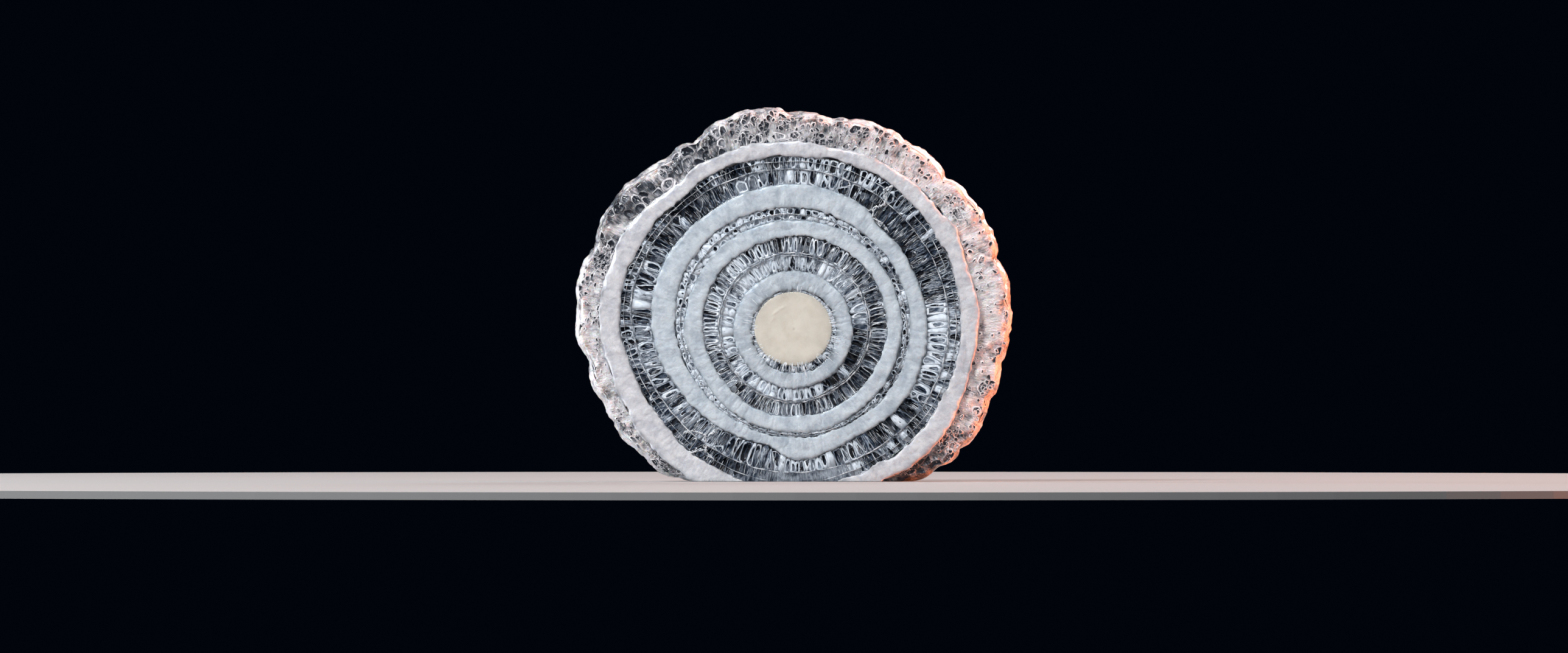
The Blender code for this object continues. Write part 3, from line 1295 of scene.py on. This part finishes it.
@dataclass(frozen=True)
class GrowthThread:
    """A fine bright line round the stone, where growth paused. It is thin in places and thick in others.

    Attributes:
        name: The piece's name.
        course: Where it runs.
        seed: Which way it sways.
        half_width: Half its usual width in mm.
    """

    name: str
    course: Course | Between
    seed: int
    half_width: float = 0.07
    start: float = 0.06  # how far under the sawn face it starts, in mm
    reach: float = 0.3  # how far on from there it goes, in mm
    sway: float = 0.07  # how far it strays from its course, in mm
    sways: int = 90  # how many grains there are in its sway round the clock
    swells: int = 140  # and in its thickness
    steps: int = 720

    def points(self, which: Side, turn: Points, share: Points, side: Points) -> Points:
        """Places the points of the thread near one face."""
        sway = smooth_noise(round_place(turn, self.sways, 0.0), self.seed, self.sways)
        swell = smooth_noise(round_place(turn, self.swells, 0.0), self.seed + 1, self.swells)
        radius = self.course.at(turn) + self.sway * sway + share * self.half_width * (0.75 + 0.6 * swell)
        depth = which.value * (HALF - (self.start + self.reach * (0.5 + 0.5 * side)))
        return placed(turn, bulged(radius, depth), depth)

    def build(self, finish: Material) -> Piece:
        """Models and dresses the thread near both faces, as one piece."""
        angle = np.linspace(0.0, TAU, 8, endpoint=False)
        halves = [ring(self.steps, np.cos(angle), np.sin(angle), partial(self.points, which)) for which in Side]
        for half in halves:
            cut_flat(half)
        deselect()
        for half in halves:
            half.select_set(True)
        bpy.context.view_layer.objects.active = halves[0]
        bpy.ops.object.join()
        return handed_over(halves[0], self.name, finish)


@dataclass(frozen=True)
class Cracks:
    """Healed cracks that cross a clear band: chains of white crystals along a crooked path.

    Attributes:
        name: The piece's name.
        paths: For each crack, the hour and the radius in mm of each of its corners.
        seed: Which crookedness they have.
    """

    name: str
    paths: tuple[tuple[tuple[float, float], ...], ...]
    seed: int
    thick: float = 0.16  # of a crystal, in mm, as is its length
    length: float = 0.55
    spacing: float = 0.16  # mm from crystal to crystal

    def build(self, finish: Material) -> Piece:
        """Models and dresses the cracks near both faces."""
        rng = np.random.default_rng(self.seed)
        shape = needle_shape()
        parts = []
        for path in self.paths:
            hours, radii = np.array(path).T
            corners = noise_place(hours / CLOCK * TAU, radii)
            run = np.concatenate([[0.0], np.cumsum(np.hypot(*np.diff(corners, axis=0).T))])
            at = np.arange(0.0, run[-1], self.spacing)
            place, past, back = (
                np.stack([np.interp(at + step, run, line) for line in corners.T], axis=-1)
                for step in (0.0, 0.05, -0.05)
            )
            place += 0.09 * rng.normal(size=place.shape)
            ahead = past - back
            lean = np.arctan2(ahead[:, 0], ahead[:, 1]) + 0.35 * rng.normal(size=len(at))
            length = self.length * rng.lognormal(0.0, 0.3, len(at))[:, None]
            thick = self.thick * rng.lognormal(0.0, 0.35, len(at))[:, None]
            aside, along, deep = (shape.points[None, :, k] * size for k, size in enumerate((thick, length, thick)))
            x = place[:, :1] + along * np.sin(lean)[:, None] + aside * np.cos(lean)[:, None]
            z = place[:, 1:] + along * np.cos(lean)[:, None] - aside * np.sin(lean)[:, None]
            for side in Side:
                depth = side.value * (HALF - rng.uniform(0.1, 0.45, len(at))[:, None] + deep)
                parts.append(placed(np.arctan2(x, z), bulged(np.hypot(x, z), depth), depth))
        made = copies(shape, np.concatenate(parts), self.name)
        return handed_over(made, self.name, finish)


@dataclass(frozen=True)
class Bubbles:
    """Small round air bubbles sealed in a clear band, most of them on the lower left.

    Attributes:
        name: The piece's name.
        inner: The band's inner boundary.
        outer: Its outer boundary.
        seed: Which places are drawn.
    """

    name: str
    inner: Course
    outer: Course
    seed: int
    count: int = 420  # how many there would be if they were crowded all round
    size: float = 0.075  # usual radius in mm
    crowd: Course = BUBBLED

    def build(self, finish: Material) -> Piece:
        """Models and dresses the bubbles."""
        rng = np.random.default_rng(self.seed)
        deselect()
        bpy.ops.mesh.primitive_uv_sphere_add(segments=8, ring_count=5, radius=1.0)
        shape = Shape.taken_from(bpy.context.object)
        turn, share = rng.uniform(0.0, TAU, self.count), rng.uniform(0.05, 0.95, self.count)
        inner, outer = self.inner.at(turn), self.outer.at(turn)
        radius = inner + (outer - inner) * share
        size = self.size * rng.lognormal(0.0, 0.4, self.count)
        depth = rng.choice((-1.0, 1.0), self.count) * (HALF - rng.uniform(0.3, 0.6, self.count))
        middle = placed(turn, bulged(radius, depth), depth)
        kept = (rng.uniform(size=self.count) < self.crowd.at(turn)) & (middle[:, 2] > CAD_LOW.z + 0.6 * MM)
        points = middle[kept, None] + shape.points[None] * size[kept, None, None] * MM
        made = copies(shape, points, self.name)
        made.data.shade_smooth()
        return handed_over(made, self.name, finish)


# ---------------------------------------------------------------- the embryo


@dataclass(frozen=True)
class Embryo:
    """The cream embryo in the middle, waxy and almost smooth.

    Attributes:
        steps: Segments round the clock.
        rings: Rings from one face's middle to the other's.
        strokes: For each low ridge on its face, its x and z in mm, its lean, its length and its height.
    """

    steps: int = 200
    rings: int = 110
    strokes: tuple[tuple[float, ...], ...] = (
        (-2.5, 2.3, 0.85, 0.7, 0.1),
        (-2.9, 1.35, 0.6, 0.4, 0.09),
        (-1.6, 2.9, 1.05, 0.4, 0.08),
        (1.7, -0.9, 0.4, 0.3, 0.05),
    )

    def build(self, finish: Material) -> Piece:
        """Models and dresses the embryo."""
        deselect()
        bpy.ops.mesh.primitive_uv_sphere_add(
            segments=self.steps, ring_count=self.rings, radius=1.0, rotation=(math.pi / 2, 0.0, 0.0)
        )
        made = bpy.context.object
        bpy.ops.object.transform_apply(rotation=True)
        unit = mesh_points(made.data)
        turn = np.arctan2(unit[:, 0], unit[:, 2]) % TAU
        out = np.hypot(unit[:, 0], unit[:, 2])
        tip = np.arctan2(out, np.abs(unit[:, 1])) / (math.pi / 2)  # 0 at the face's middle, 1 at mid thickness
        on_face = np.clip(tip / 0.8, 0.0, 1.0)
        share = np.sin(on_face * math.pi / 2)
        wall = np.clip((tip - 0.8) / 0.2, 0.0, 1.0)
        edge = EMBRYO_EDGE.at(turn)
        radius = edge * share
        across = noise_place(turn, radius)
        swell = layered(across, 70, (0.025, 2.2), (0.01, 0.7))
        for x, z, lean, long, high in self.strokes:
            apart = across - (x, z)
            along = apart @ (math.sin(lean), math.cos(lean))
            aside = apart @ (math.cos(lean), -math.sin(lean))
            swell = swell + high * np.exp(-((along / long) ** 2) - (aside / 0.13) ** 2)
        swell = swell - 0.07 * np.exp(-((radius / 0.16) ** 2))
        face = np.minimum(HALF - 0.12 * share**16 + swell * (1.0 - share**6), HALF + PROUD)
        depth = np.sign(unit[:, 1]) * face * (1.0 - wall)
        true = np.where(wall > 0, bulged(edge, np.minimum(np.abs(depth), HALF)), np.where(radius > 0, radius, 0.0))
        set_points(made.data, placed(turn, true, depth))
        turn_outwards(made)
        # Painted shade: the embryo darkens towards its edge, as a rounded rim would; the mottling and the speck in its
        # middle are its own.
        clouds = 0.12 * (1.0 + layered(across, 72, (1.0, 1.6))) * share
        veil = 0.3 * share**10 + 0.35 * np.exp(-((radius / 0.14) ** 2)) + clouds
        with_attribute(made.data, "veil", np.clip(veil, 0.0, 1.0))
        made.data.shade_smooth()
        return handed_over(made, "embryo", finish)


# ---------------------------------------------------------------- the outside


@dataclass
class ClearRim:
    """The knobbly outside of clear ice, from the last milky ring out to the stone's own skin.

    Attributes:
        cells: The row of crystals in it.
        inner: Its inner boundary.
        steps: Segments round the clock.
        face_steps: Points across each face.
        skin_steps: Points down the skin, between the faces.
    """

    cells: CellRow
    inner: Course = MILK_4_OUT
    steps: int = 900
    face_steps: int = 34
    skin_steps: int = 30
    knob: float = 0.14  # how far the face sinks over a crystal's wall, in mm
    knob_width: float = 0.25
    tuck: float = 0.25  # how far it runs on under the milky ring, in mm

    def build(self, finish: Material) -> Piece:
        """Models and dresses the rim, which stands for the CAD slice."""
        levels = np.linspace(-HALF * 0.985, HALF * 0.985, self.skin_steps)
        turns = np.arange(self.steps) * TAU / self.steps
        skin = np.stack([Outline.at_depth(turns, level) for level in levels], axis=1)

        def points(turn: Points, share: Points, side: Points) -> Points:
            """Places the rim's points."""
            row, last = np.repeat(np.arange(self.steps), len(share) // self.steps), len(levels) - 1
            place = np.clip((side * HALF - levels[0]) / (levels[-1] - levels[0]) * last, 0, last)
            low = np.floor(place).astype(int)
            high = np.minimum(low + 1, last)
            outer = skin[row, low] + (skin[row, high] - skin[row, low]) * (place - low)
            inner = bulged(self.inner.at(turn) - self.tuck, side * HALF)
            radius = inner + (outer - inner) * share
            dome = np.exp(-((self.cells.to_wall(turn, radius) / self.knob_width) ** 2))
            across = noise_place(turn, radius, side * HALF)
            rough = layered(across, 41, (1.0, 1.5), (0.7, 0.55))
            near = np.clip((radius - inner) / 0.6, 0.0, 1.0)
            fade = np.clip((outer - radius) / 1.6, 0.0, 1.0)
            deep = 0.05 + near * (self.knob * dome + 0.13 * (1.2 + rough)) + 0.5 * (1.0 - fade) ** 2
            depth = side * HALF - np.where(np.abs(side) > ON_FACE, side * deep, 0.0)
            pit = layered(across, 43, (0.16, 0.95), (0.08, 0.45))
            radius = radius + np.where(share > 0.5, pit * share**8, 0.0)
            return placed(turn, radius, depth)

        made = ring(self.steps, *section(self.face_steps, self.skin_steps), points)
        cut_flat(made)
        made.visible_shadow = False
        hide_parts(NODE)
        return handed_over(made, "clear_rim", finish)


# ---------------------------------------------------------------- the studio


@dataclass(frozen=True)
class Studio:
    """A pale floor, soft lights, a dark backdrop and the camera, with sizes in metres.

    Attributes:
        floor_radius: The floor's radius.
        distance: How far off the camera stands.
        view_width: How much of the slice's plane the view is wide.
        aim: The x and the z that the camera looks at.
    """

    floor_radius: float = 0.2
    distance: float = 3.0
    view_width: float = 0.2144
    aim: tuple[float, float] = (-0.00137, 0.02117)

    def floor(self) -> Piece:
        """A round pale floor under the slice."""
        deselect()
        bpy.ops.mesh.primitive_cylinder_add(
            vertices=160, radius=self.floor_radius, depth=1.0 * MM, location=(0.0, 0.0, -0.52 * MM)
        )
        made = bpy.context.object
        bpy.ops.object.transform_apply(location=True)
        made.name = "floor"
        made.data.materials.append(new_material("floor", Base_Color=(0.4, 0.4, 0.4, 1.0), Roughness=0.7)[0])
        return made

    def light(
        self,
        name: str,
        place: tuple[float, float, float],
        size: tuple[float, float],
        watts: float,
        colour: Colour = (1.0, 1.0, 1.0),
    ) -> None:
        """Adds a soft light that faces the slice's middle.

        Args:
            name: What it is called.
            place: Where it hangs.
            size: Its width and its height.
            watts: Its power.
            colour: Its colour.
        """
        bpy.ops.object.light_add(type="AREA", location=place)
        made = bpy.context.object
        made.name = name
        made.data.shape = "RECTANGLE"
        made.data.size, made.data.size_y = size
        made.data.energy = watts
        made.data.color = colour
        aim = Vector((0.0, 0.0, CENTRE.z)) - Vector(place)
        made.rotation_euler = aim.to_track_quat("-Z", "Y").to_euler()

    def build(self) -> None:
        """Sets up the studio."""
        self.floor()
        self.light("key", (-0.42, -0.4, 0.52), (0.24, 0.24), 5.0, (0.96, 0.98, 1.0))
        self.light("kicker", (0.3, -0.3, 0.62), (0.1, 0.1), 0.7)
        self.light("fill", (0.4, -0.7, 0.1), (0.4, 0.4), 0.8, (0.94, 0.97, 1.0))
        self.light("top", (0.0, 0.0, 0.7), (0.5, 0.3), 1.3)
        self.light("back", (0.35, 0.6, 0.4), (0.4, 0.4), 2.6, (0.96, 0.98, 1.0))
        self.light("rear_left", (-0.5, 0.12, 0.1), (0.1, 0.2), 2.6, (0.9, 0.95, 1.0))
        self.light("rear_right", (0.6, 0.06, 0.06), (0.08, 0.14), 8.5, (1.0, 0.2, 0.04))
        world = bpy.data.worlds.new("backdrop")
        world.use_nodes = True
        world.node_tree.nodes["Background"].inputs["Color"].default_value = (0.0006, 0.0014, 0.0036, 1.0)
        bpy.context.scene.world = world
        bpy.context.scene.view_settings.view_transform = "Standard"
        place = (self.aim[0], -self.distance, self.aim[1])
        bpy.ops.object.camera_add(location=place, rotation=(math.pi / 2, 0.0, 0.0))
        camera = bpy.context.object
        camera.name = "camera"
        camera.data.sensor_width = 36.0
        camera.data.lens = camera.data.sensor_width * self.distance / self.view_width
        camera.data.clip_start, camera.data.clip_end = 0.1, 20.0
        bpy.context.scene.camera = camera


# ---------------------------------------------------------------- the slice


def milky_rings(grain: Tree) -> None:
    """Builds the embryo and the milky rings round it."""
    wax = MilkyIce("embryo_wax", (0.88, 0.83, 0.735), (0.79, 0.735, 0.635), roughness=0.42, coat=0.3, relief=0.12)
    milk = MilkyIce("milky_ice", (0.74, 0.81, 0.87), (0.48, 0.56, 0.64)).material(grain)
    outer_milk = MilkyIce("milky_ice_outer", (0.85, 0.85, 0.88), (0.6, 0.61, 0.67)).material(grain)
    Embryo().build(wax.material(grain))
    MilkyLayer("milky_layer_1", MILK_1, 21, 480, clearing=0.65).build(milk)
    MilkyLayer("milky_layer_2", MILK_2, 22, 720).build(milk)
    MilkyLayer("milky_layer_3", MILK_3, 23, 860).build(milk)
    MilkyLayer("milky_layer_4", MILK_4, 24, 1000, wobble=0.3).build(outer_milk)


def main() -> None:
    """Builds the slice and the studio, and reports each piece."""
    logging.basicConfig(level=logging.INFO, format="%(name)s %(message)s")
    deselect()
    grain = frozen_grain()
    clear = ClearIce().material(grain)
    milky_rings(grain)

    gap, band_a, band_b, band_c = BANDS
    spokes = CellRow(*gap, 0.42, 1, HAZE_GAP, uneven=0.45)
    inner_a = CellRow(MILK_1[1], THREAD_A, 0.75, 2, HAZE_A_INNER, uneven=0.4)
    outer_a = CellRow(THREAD_A, MILK_2[0], 0.55, 3, HAZE_A_OUTER, uneven=0.35)
    near_ring = Between(MILK_1[1], THREAD_A, 0.24)
    crescent = CellRow(MILK_1[1], near_ring, 0.42, 8, Course(((0, 0.05),)), uneven=0.4, where=CRESCENT)
    near_thread = Between(MILK_1[1], THREAD_A, 0.7)
    specks = CellRow(near_thread, THREAD_A, 0.2, 9, Course(((0, 0.3),)), 3, 0.45, SPECKS)
    row_b = CellRow(*band_b, 0.8, 4, HAZE_B, 2, 0.5)
    inner_c = CellRow(MILK_3[1], THREAD_C, 0.85, 6, HAZE_C_INNER, 1, 0.42)
    outer_c = CellRow(THREAD_C, MILK_4[0], 0.7, 7, HAZE_C_OUTER, 1, 0.42)
    rim_cells = CellRow(MILK_4[1], Outline(0.45), 1.25, 31, HAZE_RIM, 3, 0.5)
    rim_pits = CellRow(MILK_4[1], Outline(0.4), 0.62, 32, HAZE_RIM, 6, 0.6, PITTED)

    ClearBand("clear_band_1", *gap, (spokes,), 420, 12, 51).build(clear)
    ClearBand("clear_band_2", *band_a, (inner_a, outer_a), 900, 30, 52).build(clear)
    ClearBand("clear_band_3", *band_b, (row_b,), 1000, 14, 53).build(clear)
    ClearBand("clear_band_4", *band_c, (inner_c, outer_c), 1400, 30, 54).build(clear)
    ClearRim(rim_cells).build(clear)

    deep = DeepIce().material(grain)
    for number, (band, haze) in enumerate(zip(BANDS, (HAZE_GAP, HAZE_A_INNER, HAZE_B, HAZE_C_INNER)), 1):
        DeepCore(f"deep_ring_{number}", *band, haze, 90 + number).build(deep)
    # The rim's pinkish smoke is painted warm light, as cast by the orange lamp behind on the right.
    deep_rim = DeepIce("deep_rim_shade_and_haze", (0.015, 0.02, 0.03), (0.09, 0.095, 0.11), (0.62, 0.59, 0.6), soak=0.35)
    core = DeepCore("deep_rim", MILK_4[1], Outline(0.9), HAZE_RIM, 95, depth=1.6, rise=0.95, lumps=0.35, patches=0.4)
    core.build(deep_rim.material(grain))

    frost = Frost().material(grain)
    needles = NeedleFrost().material(grain)
    # Its pinkish whites and smoke are painted warm light from the orange lamp behind on the right.
    rim_frost = Frost("rim_frost", (0.95, 0.93, 0.94), (0.6, 0.57, 0.59), (0.1, 0.11, 0.13), (0.008, 0.011, 0.018))
    rim_frost = rim_frost.material(grain)
    for walls in (
        CrystalWalls("crystal_walls_1", (spokes,), 61, start=0.12, lip=0.06, closing=0.85, shut=0.6, lit=0.4),
        CrystalWalls("crystal_walls_2", (inner_a,), 62, closing=0.7, bright=0.4, shut=0.35, lit=0.55),
        CrystalWalls("palisade", (outer_a,), 67, wall=0.2, lip=0.13, bright=0.95, inside=0.8),
        CrystalWalls("crystal_walls_3", (row_b,), 63, wall=0.1, inside=0.8, shut=0.4, lit=0.5),
        CrystalWalls("crystal_walls_4", (inner_c, outer_c), 64, closing=0.65, inside=0.42, shut=0.3, lit=0.6),
        CrystalWalls(
            "small_crystals", (crescent, specks), 66,
            wall=0.06, start=0.1, reach=0.3, lip=0.06, closing=0.5, bright=0.75,
        ),
    ):
        walls.build(frost)
    veins = CrystalWalls(
        "rim_veins", (rim_cells,), 65, wall=0.07, start=0.5, reach=0.1, lip=0.07, bevel=0.4, closing=0.75, bright=0.4,
        inside=0.35, shut=1.05, lit=0.5, open_only=True,
    )
    veins.build(rim_frost)

    tick_frost = NeedleFrost("tick_frost", (0.95, 0.97, 1.0), (0.7, 0.75, 0.8)).material(grain)
    tick = {"length": 0.28, "thick": 0.055, "stray": 0.35, "under": (-0.05, 0.0)}
    for number, edges in enumerate((MILK_1, MILK_2, MILK_3, MILK_4), 1):
        FrostNeedles(f"ticks_{number}", *edges, Course(((0, 0.5),)), 90 * number, 90 + number, **tick).build(tick_frost)
    starts, ends = (Between(EMBRYO_EDGE, MILK_1[1], share) for share in (-0.1, 0.75))
    FrostNeedles("spokes", starts, ends, SPOKED, 700, 74, 1.3, 0.09, 0.09, (-0.03, 0.03)).build(tick_frost)
    pits = CrystalWalls(
        "rim_pits", (rim_pits,), 68, wall=0.05, start=0.4, reach=0.1, lip=0.06, bevel=0.35, closing=0.7, bright=0.6,
        inside=0.3, shut=0.85, lit=0.6, open_only=True,
    )
    pits.build(rim_frost)
    # Its pinkish tints are painted warm light from the orange lamp behind on the right.
    rim_needles = NeedleFrost("rim_needle_frost", (0.95, 0.92, 0.93), (0.42, 0.4, 0.42)).material(grain)
    hairs = FrostNeedles("rim_frost", MILK_4[1], Outline(0.7), HAZE_RIM, 6000, 75, 0.3, 0.045, 0.9, (0.35, 0.65))
    hairs.build(rim_needles)
    FrostNeedles("frost_2", *band_a, HAZE_A_INNER, 5000, 71).build(needles)
    FrostNeedles("frost_4", *band_c, BRUSHED, 9000, 72).build(needles)
    for number, course, seed, half_width in (
        (2, THREAD_A, 81, 0.07),
        (3, Between(*band_b, 0.5), 83, 0.05),
        (4, THREAD_C, 82, 0.07),
        (5, Between(THREAD_C, MILK_4[0], 0.6), 87, 0.045),
        (1, Between(MILK_1[1], THREAD_A, 0.87), 84, 0.05),
    ):
        GrowthThread(f"growth_thread_{number}", course, seed, half_width).build(needles)
    crack = NeedleFrost("crack_frost", (0.95, 0.97, 1.0), (0.6, 0.63, 0.68)).material(grain)
    Cracks("cracks", CRACKS, 85).build(crack)
    Bubbles("bubbles", *band_c, 86).build(AirBubble().material())

    Studio().build()


if __name__ == "__main__":
    main()
